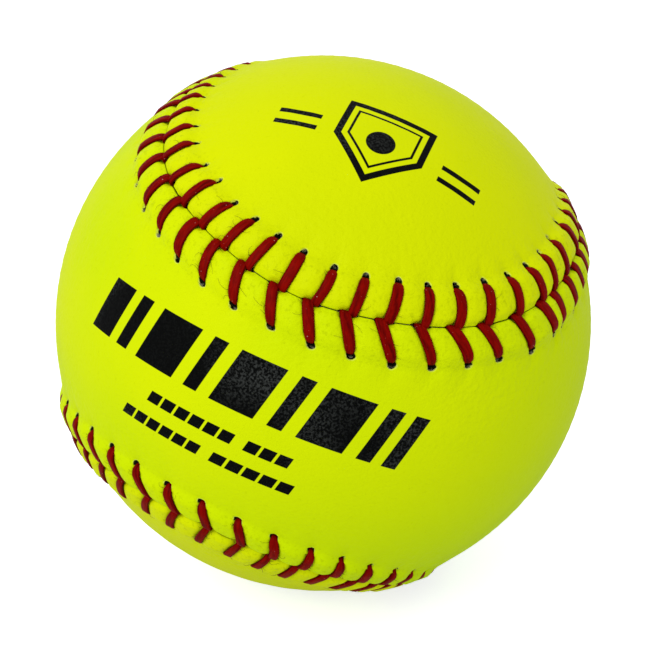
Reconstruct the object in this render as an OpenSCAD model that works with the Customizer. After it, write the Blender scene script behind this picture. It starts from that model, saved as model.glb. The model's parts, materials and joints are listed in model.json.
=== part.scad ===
// Softball of fourteen inch girth: a moulded core, wound yarn, a cement coat,
// two figure-eight cover panels and two threads that sew them together.
// The origin is the middle of the ball and +Z is up. The front is -Y.

/* [Ball] */
// Girth of the smooth ball, round its middle
ball_girth = 355.6; // [320:0.1:410]
// Turn about the front-to-back axis, in degrees, as the ball lies
lie_turn = 21.2; // [-40:0.1:40]

/* [Seam] */
// How far the seam swings to the front and to the back, in degrees
seam_swing = 63.6; // [58:0.1:66]
// How much the seam draws in beside each lobe, in degrees
seam_squeeze = 22; // [12:0.5:24]
// Gap between the edges of the two panels
seam_gap = 0.3; // [0.2:0.05:0.6]

/* [Cover] */
// Thickness of the cover
cover_t = 1.6; // [1.3:0.1:2.2]
// How far the cover is lifted along the seam
roll_rise = 1.1; // [1:0.05:1.6]
// Distance from the seam to the foot of the lifted strip
roll_w = 8.2; // [7.9:0.1:9.5]
// Width of the slope at the foot of the lifted strip
roll_slope = 3; // [2.4:0.1:3.4]
// How much further out the slope on the underside lies
tunnel_reach = 1.3; // [1.2:0.05:1.5]

/* [Stitch holes] */
// Number of holes in each panel
stitches = 93; // [70:1:98]
// Distance from the seam to each row of holes
hole_row = 7.4; // [7.1:0.1:7.8]
// Diameter of a punched hole
hole_d = 1.8; // [1.7:0.05:2.4]
// Length of the opening that the thread makes in the seam
notch_l = 3.4; // [3.2:0.1:4]
// Width of the opening that the thread makes in the seam
notch_w = 1.3; // [1.2:0.05:1.8]

/* [Thread] */
// Width of the thread where it lies on the cover
thread_w = 1.8; // [1.3:0.05:2]
// Thickness of the thread
thread_t = 0.8; // [0.5:0.05:0.85]
// Width of the thread in the holes and in the seam
neck_w = 1.3; // [0.8:0.05:1.35]
// How far the stitch on the front panel leans along the seam
front_lean = 2.55; // [2.4:0.05:2.8]
// How far the stitch on the crown panel leans along the seam
crown_lean = 0.5; // [0.3:0.05:0.7]
// How far the crown panel's holes lie ahead of the front panel's
hole_lead = 0.4; // [0.2:0.05:0.5]
// Room kept between the thread and what it lies on
thread_clear = 0.15; // [0.1:0.05:0.25]

/* [Inside] */
// Diameter of the moulded core
core_d = 76; // [60:1:90]
// Thickness of the cement coat on the winding
coat_t = 0.5; // [0.3:0.1:1]
// Clearance between one layer and the next
layer_clear = 0.1; // [0.05:0.05:0.2]

/* [Hidden] */
$fn = 96;

ball_r = ball_girth / (2 * PI);
bed_r = ball_r - cover_t;
coat_r = bed_r - layer_clear;
winding_r = coat_r - coat_t - layer_clear;
roll_r = ball_r + roll_rise;
tunnel_r = bed_r + roll_rise;

// How far into the seam's first step the holes start, as a share of it
first_hole_share = 0.5;
// Where a leaning stitch is on the shoulder and on the crest, as shares of its lean
shoulder_share = 0.3;
crest_share = 0.7;
// How far a thread's tucked ends run on under the cover, as a share of the way
tail_share = 0.4;
// Length of the turn that a thread makes as it goes under a panel
thread_bend = 1.1;
// Run past a surface for every cut
overrun = 0.4;
// Cutting shapes reach out to this many ball radii
reach_share = 1.6;
// Half of the arc along each panel's spine, in degrees
spine_half = 97;
// Steps along the seam for the panels' edges, and for the slopes
edge_steps = 4 * stitches - stitches % 2 * 4;
slope_steps = edge_steps / 2;
// Steps in the table of the seam's length
table_steps = 720;
// Small turn that finds the seam's direction, in degrees
probe = 0.05;
// Outline of the thread, as shares of half its width and half its thickness
thread_outline_share = [[1, -0.3], [0.6, 1], [-0.6, 1], [-1, -0.3], [0, -1]];

// Direction from the middle of the ball to the seam: the seam swings twice to
// the front and twice to the back while it goes once round the Y axis
function seam_dir(t) =
    let (lat = -seam_swing * cos(2 * t), lon = t + seam_squeeze * sin(4 * t))
    [cos(lat) * cos(lon), -sin(lat), cos(lat) * sin(lon)];

function hop(i) = norm(seam_dir(360 * i / table_steps) - seam_dir(360 * (i - 1) / table_steps));
seam_table = [
    for (i = 0, run = 0; i <= table_steps; i = i + 1, run = run + hop(i))
        [run, 360 * i / table_steps]
];
seam_l = seam_table[table_steps][0] * ball_r;
step_l = seam_l / stitches;

function wrap(x, span) = x - span * floor(x / span);
function seam_t(s) = lookup(wrap(s, seam_l) / ball_r, seam_table);
function unit(v) = v / norm(v);

// At a length s along the seam: the way out, the way along the seam and the
// way across it, towards the crown panel
function seam_frame(s) =
    let (t = seam_t(s), out = seam_dir(t), along = unit(seam_dir(t + probe) - seam_dir(t - probe)))
    [out, along, cross(along, out)];

// A place a length s along the seam, w across it and r from the middle
function spot(s, w, r) =
    let (f = seam_frame(s), a = w / ball_r * 180 / PI)
    r * (cos(a) * f[0] + sin(a) * f[2]);

// The line that keeps a distance w on the front panel's side of the seam
function side_line(w, r, steps) = [for (i = [0:steps - 1]) spot(seam_l * i / steps, -w, r)];

// The front panel's spine, from one lobe round the front to the other
function spine(r, steps) = [
    for (i = [0:steps / 2])
        let (a = spine_half * (1 - 4 * i / steps))
        r * [sin(a), -cos(a), 0]
];

// Faces between two rings of n points, and from a ring to the spine
function band(n, a, b) = [
    for (i = [0:n - 1])
        let (j = (i + 1) % n)
        each [[a + i, b + i, b + j], [a + i, b + j, a + j]]
];
function spine_index(i, n) = i <= n / 2 ? i : n - i;
function spine_faces(n, a, b) = [
    for (i = [0:n - 1])
        let (j = (i + 1) % n, u = b + spine_index(i, n), v = b + spine_index(j, n))
        each [[a + i, u, v], [a + i, v, a + j]]
];
function fan(n, a) = [for (i = [0:n - 1]) [0, a + i, a + (i + 1) % n]];

// Everything on the front panel's side, from a distance w from the seam
module front_side(w) {
    r = reach_share * ball_r;
    points = concat([[0, 0, 0]], side_line(w, r, edge_steps), spine(r, edge_steps));
    polyhedron(points, concat(fan(edge_steps, 1), spine_faces(edge_steps, 1, 1 + edge_steps)));
}

// The same with a slope, from w_low at r_low in to w_high at r_high
module front_field(w_low, r_low, w_high, r_high) {
    r = reach_share * ball_r;
    n = slope_steps;
    lines = concat(side_line(w_low, r_low, n), side_line(w_high, r_high, n), side_line(w_high, r, n));
    bands = concat(band(n, 1, 1 + n), band(n, 1 + n, 1 + 2 * n));
    points = concat([[0, 0, 0]], lines, spine(r, n));
    polyhedron(points, concat(fan(n, 1), bands, spine_faces(n, 1 + 2 * n, 1 + 3 * n)));
}

// Turns the front panel's shapes into the crown panel's
module crownwards() {
    rotate(180, [1, 0, 1]) children();
}

// Lays the ball the way it rests
module lie() {
    rotate([0, lie_turn, 0]) children();
}

// Puts its children at a place on the seam, with X along it and Z outwards
module on_seam(s, w) {
    f = seam_frame(s);
    z = unit(spot(s, w, ball_r));
    y = unit(cross(z, f[1]));
    x = cross(y, z);
    multmatrix([[x[0], y[0], z[0], 0], [x[1], y[1], z[1], 0], [x[2], y[2], z[2], 0], [0, 0, 0, 1]])
        translate([0, 0, bed_r - overrun]) children();
}

// Where each panel's holes lie along the seam, and where its stitches go in
function hole_s(side, k) = (k + first_hole_share) * step_l + (side > 0 ? hole_lead : 0);
function dive_s(side, k) = hole_s(side, k) + (side > 0 ? crown_lean : front_lean);

module stitch_holes(side) {
    for (k = [0:stitches - 1])
        on_seam(hole_s(side, k), side * hole_row)
            cylinder(d = hole_d, h = cover_t + roll_rise + 2 * overrun, $fn = 24);
}

module stitch_notches() {
    l = cover_t + roll_rise + 2 * overrun;
    for (k = [0:stitches - 1])
        on_seam((dive_s(1, k) + dive_s(-1, k)) / 2, 0)
            translate([-notch_l / 2, -notch_w / 2, 0]) cube([notch_l, notch_w, l]);
}

// A figure-eight panel: the ball's own round, lifted into a strip along the seam
module panel_blank() {
    difference() {
        intersection() {
            sphere(roll_r);
            front_side(seam_gap / 2);
        }
        difference() {
            front_field(roll_w + roll_slope * overrun / roll_rise, ball_r - overrun,
                roll_w - roll_slope - roll_slope * overrun / roll_rise, roll_r + overrun);
            sphere(ball_r);
        }
        sphere(bed_r);
        difference() {
            sphere(tunnel_r);
            front_field(roll_w + tunnel_reach + roll_slope * overrun / roll_rise, bed_r - overrun,
                roll_w + tunnel_reach - roll_slope - roll_slope * overrun / roll_rise, tunnel_r + overrun);
        }
    }
}

// The stations of one stitch, from its hole to the seam and on under the other
// panel: along, across, radius, half width
function stitch_rows(side, k) =
    let (hole = hole_s(side, k), dive = dive_s(side, k), next = hole_s(-side, k + 1))
    let (lean = dive - hole, under = next - dive, sink = thread_t / 8)
    let (lay = coat_r + thread_t / 2 + thread_clear * 3 / 2, ride = roll_r + thread_t / 2 + thread_clear)
    [
        [hole, side * (hole_row - sink), lay, neck_w / 2],
        [hole, side * (hole_row - sink), ball_r + thread_t, neck_w / 2],
        [hole + lean * shoulder_share, side * (roll_w - roll_slope), ride, thread_w / 2],
        [hole + lean * crest_share, side * (roll_w - roll_slope) / 2, ride + thread_clear, thread_w / 2],
        [dive, side * sink, roll_r + thread_t / 2, neck_w / 2],
        [dive, -side * sink, (tunnel_r + lay) / 2, neck_w / 2],
        [dive + under * thread_bend / hole_row, -side * thread_bend, lay, neck_w / 2],
        [next - under * thread_bend / hole_row, -side * (hole_row - thread_bend), lay, neck_w / 2]
    ];

// A thread takes the crown panel's stitch at one station and the front panel's
// at the next; its ends lie under the cover, where they meet
function thread_rows(first) =
    let (before = stitch_rows(-first, -1), last = first * (stitches % 2 > 0 ? 1 : -1))
    let (after = stitch_rows(last, stitches - 1), legs = [for (k = [0:stitches - 1])
        each stitch_rows(first * (k % 2 > 0 ? -1 : 1), k)])
    let (n = len(legs), head = before[7] + tail_share * (before[6] - before[7]))
    let (tail = after[6] + tail_share * (after[7] - after[6]))
    concat([head, before[7]], [for (i = [0:n - 2]) legs[i]], [tail]);

// The ring of points round one row, flat side outwards
function thread_ring(rows, i) =
    let (n = len(rows), a = rows[max(i - 1, 0)], b = rows[min(i + 1, n - 1)], c = rows[i])
    let (p = spot(c[0], c[1], c[2]), ahead = unit(spot(b[0], b[1], b[2]) - spot(a[0], a[1], a[2])))
    let (along = seam_frame(c[0])[1], flat = unit(along - (along * ahead) * ahead), up = cross(ahead, flat))
    [for (q = thread_outline_share) p + flat * q[0] * c[3] + up * q[1] * thread_t / 2];

module thread(first) {
    rows = thread_rows(first);
    n = len(rows);
    m = len(thread_outline_share);
    points = [for (i = [0:n - 1]) each thread_ring(rows, i)];
    walls = [
        for (i = [0:n - 2], j = [0:m - 1])
            let (a = i * m + j, b = i * m + (j + 1) % m)
            each [[a, b + m, b], [a, a + m, b + m]]
    ];
    caps = [for (j = [1:m - 2]) each [[0, j, j + 1], [(n - 1) * m, (n - 1) * m + j + 1, (n - 1) * m + j]]];
    polyhedron(points, concat(walls, caps));
}

module core() {
    color("tan")
        sphere(d = core_d);
}

module yarn_winding() {
    color("ivory")
        difference() {
            sphere(winding_r);
            sphere(core_d / 2 + layer_clear);
        }
}

module cement_coat() {
    color("wheat")
        difference() {
            sphere(coat_r);
            sphere(coat_r - coat_t);
        }
}

module front_panel() {
    color([0.8, 0.9, 0.05])
        lie()
            difference() {
                panel_blank();
                stitch_holes(-1);
                stitch_notches();
            }
}

module crown_panel() {
    color([0.76, 0.86, 0.05])
        lie()
            difference() {
                crownwards() panel_blank();
                stitch_holes(1);
                stitch_notches();
            }
}

module first_thread() {
    color([0.5, 0.03, 0.03])
        lie() thread(1);
}

module second_thread() {
    color([0.55, 0.04, 0.04])
        lie() thread(-1);
}

core();
yarn_winding();
cement_coat();
front_panel();
crown_panel();
first_thread();
second_thread();
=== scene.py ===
# %% [markdown]
# # Dressing a sewn softball
# The ball is already built as a CAD model: a core, a winding, a cement coat, two cover panels and
# two threads. This lesson gives it the looks of the real thing. Every form here is a function of
# two numbers on a grid, worked out with numpy for all points at once.
#
# We first load the CAD model as a fixed frame. The dressed ball has to stay inside it.

# %% Load the imported ball
import json
import math

import bmesh
import bpy
import numpy as np
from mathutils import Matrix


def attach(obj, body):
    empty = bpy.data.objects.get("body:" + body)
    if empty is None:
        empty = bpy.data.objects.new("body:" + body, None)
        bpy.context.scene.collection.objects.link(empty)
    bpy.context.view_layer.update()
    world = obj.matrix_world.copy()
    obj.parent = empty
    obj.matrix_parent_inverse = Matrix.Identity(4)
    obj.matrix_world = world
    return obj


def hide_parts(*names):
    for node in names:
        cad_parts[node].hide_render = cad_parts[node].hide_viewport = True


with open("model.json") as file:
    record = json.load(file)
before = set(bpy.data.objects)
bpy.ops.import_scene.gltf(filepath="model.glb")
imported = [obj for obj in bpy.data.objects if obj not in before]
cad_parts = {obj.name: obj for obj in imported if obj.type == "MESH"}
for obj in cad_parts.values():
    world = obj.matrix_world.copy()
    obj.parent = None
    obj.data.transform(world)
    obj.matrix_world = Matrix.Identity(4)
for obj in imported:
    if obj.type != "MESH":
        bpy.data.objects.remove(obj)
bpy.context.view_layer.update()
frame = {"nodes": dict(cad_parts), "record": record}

MM = 0.001
seat = next(m for m in frame["record"]["mounts"] if m["name"] == "rest_seat")
BALL_R = -seat["pos_m"][2] / MM
print("nodes:", ", ".join(sorted(frame["nodes"])))
print("ball radius:", BALL_R, "mm")

# %% [markdown]
# ## The seam
# Two panels in the shape of a figure eight meet along one closed curve. It could be drawn by hand
# on the ball, but a formula is exact and gives a direction at every point: while the curve goes
# once round the front-to-back axis, it swings twice to the front and twice to the back, and draws
# in beside each lobe. All lengths are in millimetres until a mesh is made.

# %% The seam as a curve on the ball
SEAM_SWING = math.radians(63.6)
SEAM_SQUEEZE = math.radians(22)
LIE_TURN = math.radians(21.2)
STITCHES = 93
PROBE = 0.001


def unit(v):
    """Each vector divided by its length."""
    return v / np.linalg.norm(v, axis=-1, keepdims=True)


def seam_dir(t):
    """From the middle to the seam: latitude is minus the swing times cos 2t, longitude is t plus
    the squeeze times sin 4t, both round the Y axis."""
    lat = -SEAM_SWING * np.cos(2 * t)
    lon = t + SEAM_SQUEEZE * np.sin(4 * t)
    return np.stack([np.cos(lat) * np.cos(lon), -np.sin(lat), np.cos(lat) * np.sin(lon)], axis=-1)


seam_angles = np.linspace(0, 2 * np.pi, 7201)
seam_hops = np.linalg.norm(np.diff(seam_dir(seam_angles), axis=0), axis=1)
seam_run = np.concatenate([[0], np.cumsum(seam_hops)]) * BALL_R
SEAM_L = seam_run[-1]
STEP = SEAM_L / STITCHES
print(f"seam {SEAM_L:.1f} mm, one stitch every {STEP:.2f} mm")


# %% Places by length along the seam, distance across it and radius
# A sewn seam wanders: numbers of stitches, and how many millimetres it lies towards the crown there
SEAM_DRIFT = [(4, 0), (8, -0.8), (11, -0.9), (14, 0), (29, 0), (31, 0.5), (32, 0.5), (33.5, 0),
              (35, -1.0), (38, -1.0), (42, 0), (63, 0), (65, -0.3), (69, -0.3), (73, 0), (76, 0.5),
              (78, 1.0), (80, 0.8), (86, 0)]
# Where stitch 0 of that table lies, in steps from the seam's start
DRIFT_START = 0.7


def seam_frame(s):
    """Ways out, along and across (towards the crown panel) at lengths s along the seam."""
    t = np.interp(np.mod(s, SEAM_L), seam_run, seam_angles)
    out = seam_dir(t)
    along = unit(seam_dir(t + PROBE) - seam_dir(t - PROBE))
    return out, along, np.cross(along, out)


def toward(s, w):
    """The direction from the middle to a place s along the seam and w across it: the way out,
    turned towards the way across by w and the seam's drift, over the ball's radius."""
    out, _, across = seam_frame(s)
    drift = np.interp(s / STEP - DRIFT_START, *zip(*SEAM_DRIFT), period=STITCHES)
    turn = ((w + drift) / BALL_R)[..., None]
    return np.cos(turn) * out + np.sin(turn) * across


def lie(points):
    """Points turned about Y, the way the ball lies."""
    c, s = math.cos(LIE_TURN), math.sin(LIE_TURN)
    return points @ np.array([[c, 0, s], [0, 1, 0], [-s, 0, c]]).T


def ease(low, high, x):
    """0 up to low, 1 from high on, and a smooth S between: 3t squared minus 2t cubed."""
    t = np.clip((x - low) / (high - low), 0, 1)
    return t * t * (3 - 2 * t)


def make_piece(name, points, faces):
    """A smooth mesh from points in millimetres and faces of four corners."""
    mesh = bpy.data.meshes.new(name)
    mesh.from_pydata((lie(points) * MM).tolist(), [], faces)
    mesh.update()
    mesh.shade_smooth()
    piece = bpy.data.objects.new(name, mesh)
    bpy.context.scene.collection.objects.link(piece)
    print(name, len(mesh.vertices), "points", sum(len(p.vertices) - 2 for p in mesh.polygons), "triangles")
    return piece


print("the seam starts at", np.round(lie(toward(0.0, 0.0)) * BALL_R, 1), "mm")

# %% [markdown]
# ## The hand of the sewer
# A ball is sewn by hand, so no two stitches are the same. One seeded table of small differences
# serves the leather and the threads together, so that each thread lies in its own groove. Every
# place beside the seam then has two numbers: n counts stitches along it, and d is the distance
# from it. A thread lies wherever n is whole.
#
# The tables hold how this ball was sewn. Each row is the number of a stitch and a value there, in
# millimetres or as a share, with straight lines from row to row.

# %% Where the stitches go along the seam
FRONT, CROWN = -1, 1
HOLE_ROW = 7.0
# The leather follows the stitches up to the first of these distances, and no more from the second on
FADE_FROM = 9.0
STRIP_END = 13.6
HOLE_LEAD = {FRONT: 0.0, CROWN: 0.4}
LEAN = {FRONT: 2.42, CROWN: 0.68}
# How far the sewer ran ahead at the holes
AHEAD = {
    FRONT: [(0, 1.4), (9, 3.0), (10, 3.4), (11, 3.8), (12, 3.2), (13, 2.0), (14, 1.7), (15, -2.1),
            (16, -1.7), (17, -0.7), (18, -1.2), (19, -1.2), (20, -1.0), (21, -0.5), (23, -0.6),
            (25, -0.1), (29, 0.1), (30, 0.6), (31, -0.2), (32, -0.8), (33, -3.0), (34, -3.6),
            (36, -3.8), (48, 0), (58, 0), (63, 1.2), (65, 0.5), (67, 0.4), (68, 0.9), (70, 0.7),
            (71, 1.1), (72, 1.9), (73, 1.6), (75, 1.5), (76, 0.9), (77, 0.7), (78, 1.3), (80, 1.2),
            (86, 0)],
    CROWN: [(0, 1.2), (9, 0.7), (10, -0.1), (11, -1.1), (12, -1.1), (13, -0.3), (14, -0.8), (16, -0.9),
            (17, -0.4), (18, 0.3), (19, 0), (20, -0.5), (22, -0.9), (23, 0), (24, 0), (25, -0.5),
            (26, -1.2), (27, -0.7), (28, -1.4), (29, 0.1), (30, -0.3), (31, 0), (32, -1.2), (33, -2.2),
            (34, -3.6), (35, -5.0), (37, -5.0), (52, 0), (60, 0), (64, 1.6), (66, 0.9), (67, 1.3),
            (68, 0.8), (69, 1.4), (70, 1.8), (71, 1.5), (72, 1.0), (73, 0.6), (74, 0.6), (76, 0),
            (78, -0.6), (86, 0)],
}
# The same where the two arms of a stitch meet
MEET = [(0, 1.3), (2, 1.8), (6, -0.2), (9, 0.5), (10, 0.2), (11, -0.5), (12, -1.0), (13, 0.1), (14, 0),
        (15, -2.0), (16, -1.2), (17, 0), (18, -0.1), (19, -0.5), (20, -0.2), (21, -0.4), (22, -0.3),
        (23, -0.5), (24, -0.1), (25, -0.5), (27, -1.1), (29, -1.1), (30, -1.9), (31, -2.3), (32, -2.5),
        (33, -2.7), (34, -3.2), (35, -4.2), (36, -4.5), (50, 0), (60, 0), (65, 1.2), (66, 0.9),
        (67, 1.5), (68, 1.1), (69, 1.1), (70, 1.6), (71, 1.1), (72, 0.5), (73, 0.9), (74, 1.2),
        (75, 0.9), (77, 0.3), (80, 0), (86, 0)]
# How much sooner than usual the front arm meets the seam, and how much later the crown arm does.
# Where this is about minus half a step, each crown arm meets the front arm of the stitch before
APART = [(2, 0), (6, -3.2), (10, -3.2), (11, -2.8), (12, -2.4), (13, 0), (26, 0), (28, 0.2), (30, 0.5),
         (33, 0.6), (36, 0), (62, 0), (64, 0.6), (69, 0.6), (71, 0.4), (73, 0)]
# How far the arms bend forwards in the middle
BOW = {
    FRONT: [(10, -0.6), (15, -0.5), (16, -0.3), (18, -0.4), (20, -0.1), (23, 0), (24, 0.3), (26, 0.6),
            (31, 0.6), (34, 0), (60, -0.3), (66, -0.6), (68, -0.3), (69, 0.05), (71, 0.3), (75, 0.1),
            (80, -0.2)],
    CROWN: [(10, -0.6), (13, -0.8), (15, -0.7), (18, -0.5), (20, -0.2), (23, -0.15), (25, 0.2),
            (27, 0.4), (29, 0.1), (34, 0), (60, -0.3), (66, -0.55), (68, -0.35), (70, -0.05),
            (71, 0.15), (73, -0.15), (80, -0.2)],
}
print(f"holes {HOLE_ROW} mm from the seam, plain leather from {STRIP_END} mm on")

# %% Holes, slits, widths of the thread and the height of the strip
# How much farther out than usual the holes lie
REACH = {
    FRONT: [(9, 0), (11, -0.5), (12, -0.7), (14, -0.2), (16, 0), (17, -0.8), (20, -0.3), (22, -0.5),
            (23, -0.8), (24, -0.5), (26, -0.1), (27, -0.6), (28, -0.4), (29, -0.5), (30, 0), (31, 0),
            (60, -0.8), (64, -1.1), (66, -0.9), (67, -1.0), (68, -1.5), (70, -1.4), (71, -1.6),
            (75, -1.5), (77, -1.8), (82, -0.4)],
    CROWN: [(9, -0.5), (12, 0), (15, -0.3), (17, 0.2), (18, -0.2), (20, -0.1), (22, -0.6), (23, 0.1),
            (25, -0.2), (26, -0.7), (27, -0.2), (28, -0.7), (30, -1.0), (31, -2.0), (33, -2.0),
            (36, -1.2), (45, -0.2), (64, -0.5), (65, -0.1), (67, -0.2), (69, 0.3), (70, 0), (71, 0),
            (73, -0.5), (76, -1.0), (80, -0.3)],
}
# The share of its full width that a hole has, where the thread has drawn it out to a slit
SLIT = {
    FRONT: [(8, 0.7), (13, 0.7), (14, 1), (26, 1), (28, 0.8), (33, 0.8), (40, 1), (71, 1), (73, 0.75),
            (78, 0.65), (82, 1)],
    CROWN: [(8, 0.6), (12, 0.6), (15, 1), (25, 1), (27, 0.8), (29, 0.6), (36, 0.6), (40, 1)],
}
# The share of its full width that a thread has
FINE = {
    FRONT: [(70, 1), (75, 0.9), (80, 1)],
    CROWN: [(27, 1), (29, 0.85), (34, 0.85), (38, 1)],
}
# The share of its full height that the strip along the seam has
STRIP = [(3, 1), (5, 0.4), (7, 0.4), (8, 0.85), (9, 1.05), (12, 1), (31, 1), (32, 0.95), (33, 0.55),
         (36, 0.45), (37, 0.25), (39, 0.25), (42, 1), (58, 1), (61, 0.8), (63, 1.2), (65, 1), (72, 1),
         (73, 0.85), (75, 0.8), (76, 0.6), (78, 0.75), (79, 0.4), (80, 0.25), (82, 0.4), (86, 1)]
# Stitches before which the seam gapes, and by how much
GAPING = [2, 37, 69, 73, 83]
GAPE_WIDE = 0.42

# %% Small differences from stitch to stitch
HAND_SEED = 14
stitch = np.arange(STITCHES)
hand = np.random.default_rng(HAND_SEED)


def all_round(table):
    """A value for every stitch, on straight lines between the rows of a table."""
    return np.interp(stitch, *zip(*table), period=STITCHES)


hands = {}
for side in (FRONT, CROWN):
    hands[side] = {
        "slide": all_round(AHEAD[side]) + hand.normal(0, 0.04, STITCHES),
        "lean": hand.normal(0, 0.10, STITCHES),
        "bow": all_round(BOW[side]) + hand.normal(0, 0.06, STITCHES),
        "puff": np.clip(hand.normal(1, 0.28, STITCHES), 0.4, 1.6),
        "width": np.clip(hand.normal(1, 0.05, STITCHES), 0.88, 1.12) * all_round(FINE[side]),
        "reach": all_round(REACH[side]) + hand.normal(0, 0.06, STITCHES),
        "slit": all_round(SLIT[side]),
    }
meet = all_round(MEET)
apart = all_round(APART)
strip_share = all_round(STRIP)
gape = np.clip(hand.normal(0.01, 0.04, STITCHES), 0, 0.12)
gape[GAPING] = GAPE_WIDE
print("differences drawn for", 2 * STITCHES, "stitches")


def between(values, n):
    """A value of the table at n, with straight lines between stitches."""
    return np.interp(n, stitch, values, period=STITCHES)


def stitch_line(side, n, d):
    """Length along the seam of the place n, d: even steps, a lean that grows from nothing at the
    holes to the whole at the seam, and the stitch's own slide, lean and bow."""
    own = hands[side]
    lean = np.clip(1 - d / HOLE_ROW, -0.1, 1)
    share = np.clip(lean, 0, 1)
    even = STEP / 2 + HOLE_LEAD[side] + n * STEP + LEAN[side] * lean
    slide = between(own["slide"], n) * (1 - share) + between(meet + side * apart, n) * share
    return even + slide + between(own["lean"], n) * share + between(own["bow"], n) * np.sin(np.pi * share)


def true_distance(side, n, d):
    """Millimetres from the seam of the place n, d. Where the holes lie nearer than usual, the
    strip is squeezed in proportion, and this fades out beyond it."""
    squeeze = between(hands[side]["reach"], n) / HOLE_ROW
    return d * (1 + squeeze * (1 - ease(FADE_FROM, STRIP_END, d)))


# %% [markdown]
# ## The leather
# The grain side is the ball's own round plus a height. Along the seam the cover is lifted into a
# rounded strip. Each thread presses a groove into it, the leather puffs up between the threads,
# and small pleats run out from the holes. One could paint this as bump in a material, but then
# the outline against the background would stay a perfect circle, and the photograph's is not.

# %% Heights of the leather over the ball's round
ROLL_RISE = 1.1
ROLL_FOOT = 8.6
ROLL_SLOPE = 3.4
SEAM_DIP = 0.34
SEAM_DIP_WIDE = 1.0
PUFF = 0.42
PUFF_RISE = (0, 1.5)
PUFF_FADE = (5.2, 13.0)
GROOVE = 0.42
GROOVE_WALL = (0.55, 1.5)
PLEAT = 0.085
PLEAT_WIDE = 0.6
PLEAT_RISE = (7.6, 8.6)
PLEAT_FADE = (9.0, 12.0)
PULL = 0.14
PULL_ALONG = 1.3
PULL_ACROSS = 1.5
HOLE_HALF_ALONG = 0.74
HOLE_HALF_ACROSS = 0.92
HOLE_CENTRE = HOLE_ROW + 0.32
HOLE_POWER = 2.1
HOLE_DEEP = 1.2
HOLE_WALL = (0.76, 1.02)
HOLE_GIVE = 0.25
SLIT_LONGER = 0.6
NOTCH_SHIFT = (LEAN[FRONT] - LEAN[CROWN] - HOLE_LEAD[CROWN]) / 2
NOTCH_WALL = (1.15, 1.95)
NOTCH_DEEP = 0.5
NOTCH_SPREAD = 0.34
EDGE_REACH = 0.9
LUMP = 0.035


def past_thread(n):
    """Millimetres along the seam from the nearest thread to each place."""
    return (n - np.round(n)) * STEP


def sewn_height(side, n, d):
    """The lifted strip, less a dip at the seam and the groove of the nearest thread, plus the puff
    between threads, which goes with the square of the sine of the way from one thread to the next.
    A pleat runs out from each hole, and the leather is pulled down round it, both as bell curves."""
    x = past_thread(n)
    plump = between(hands[side]["puff"], n)
    strip = ROLL_RISE * between(strip_share, n) * (1 - ease(ROLL_FOOT - ROLL_SLOPE, ROLL_FOOT, d))
    strip = strip - SEAM_DIP * np.exp(-(d / SEAM_DIP_WIDE) ** 2)
    puff = PUFF * np.sin(np.pi * n) ** 2 * plump * ease(*PUFF_RISE, d) * (1 - ease(*PUFF_FADE, d))
    groove = GROOVE * (1 - ease(*GROOVE_WALL, np.abs(x))) * (1 - ease(HOLE_ROW - 1, HOLE_ROW, d))
    pleat = PLEAT * plump * np.exp(-(x / PLEAT_WIDE) ** 2)
    pleat = pleat * ease(*PLEAT_RISE, d) * (1 - ease(*PLEAT_FADE, d))
    pull = PULL * np.exp(-(x / PULL_ALONG) ** 2 - ((d - HOLE_ROW) / PULL_ACROSS) ** 2)
    return strip + puff - groove - pleat - pull


def hole_place(side, n, d):
    """How far out of a hole a place is, where 1 is the rim, and how far towards its far end. The
    thread has drawn the hole out across the seam, to an ellipse with fuller ends: the shares of
    its half sizes, each raised to a power, add up to 1 on the rim. Plumper leather has given more,
    and a slit is narrower and reaches farther out."""
    slit = between(hands[side]["slit"], n)
    longer = SLIT_LONGER * (1 - slit)
    x = np.abs(past_thread(n)) / (HOLE_HALF_ALONG * slit)
    middle = HOLE_CENTRE + longer + HOLE_GIVE * (between(hands[side]["puff"], n) - 1)
    y = (d - middle) / (HOLE_HALF_ACROSS + longer)
    return (x ** HOLE_POWER + np.abs(y) ** HOLE_POWER) ** (1 / HOLE_POWER), y


def seam_n(side, n):
    """The number n counted from the middle of the nearest place where two threads go down: those
    of one stitch, or where they lie far apart, those of neighbouring stitches."""
    shift = NOTCH_SHIFT - between(apart, n)
    return n - side * np.where(shift > STEP / 4, shift - STEP / 2, shift) / STEP


def notch_share(side, n):
    """1 where the two threads of a stitch go down into the seam, and 0 between stitches."""
    x = past_thread(seam_n(side, n))
    return 1 - ease(*NOTCH_WALL, np.abs(x))


def at_edge(d):
    """1 at the seam, and less and less away from it, as a bell curve."""
    return np.exp(-(d / EDGE_REACH) ** 2)


def seam_spread(side, n, d):
    """How far a panel stands back from the seam: a little where the threads go down, and between
    stitches by what the seam gapes there, with the square of a sine."""
    open_share = np.sin(np.pi * seam_n(side, n)) ** 2
    return at_edge(d) * (NOTCH_SPREAD * notch_share(side, n) + between(gape, n - 0.5) * open_share)


def lumps(way):
    """A slow unevenness of the whole ball, from the directions alone: three crossed waves, sunk
    so far that they never pass the ball's own radius."""
    x, y, z = (way[..., i] for i in range(3))
    slow = np.sin(5.1 * x + 1.3) * np.sin(4.3 * y - 0.4) + np.sin(6.2 * z + 3.1 * x) * np.cos(5.7 * y)
    return LUMP * (slow - 2)


print(f"strip {ROLL_RISE} mm high, grooves {GROOVE} mm deep")

# %% [markdown]
# ## Two cover panels
# A panel is one grid. Its columns run along the seam and follow the stitches, and they crowd
# together at the threads, where the shape is small. Its rows start inside the seam, go up the
# cut edge, over its rounded corner, across the sewn strip and on to the spine in the middle of
# the panel, where the two halves of the grid close. A second set of rows makes the flesh side,
# so the panel is a closed skin of real thickness.

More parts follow.
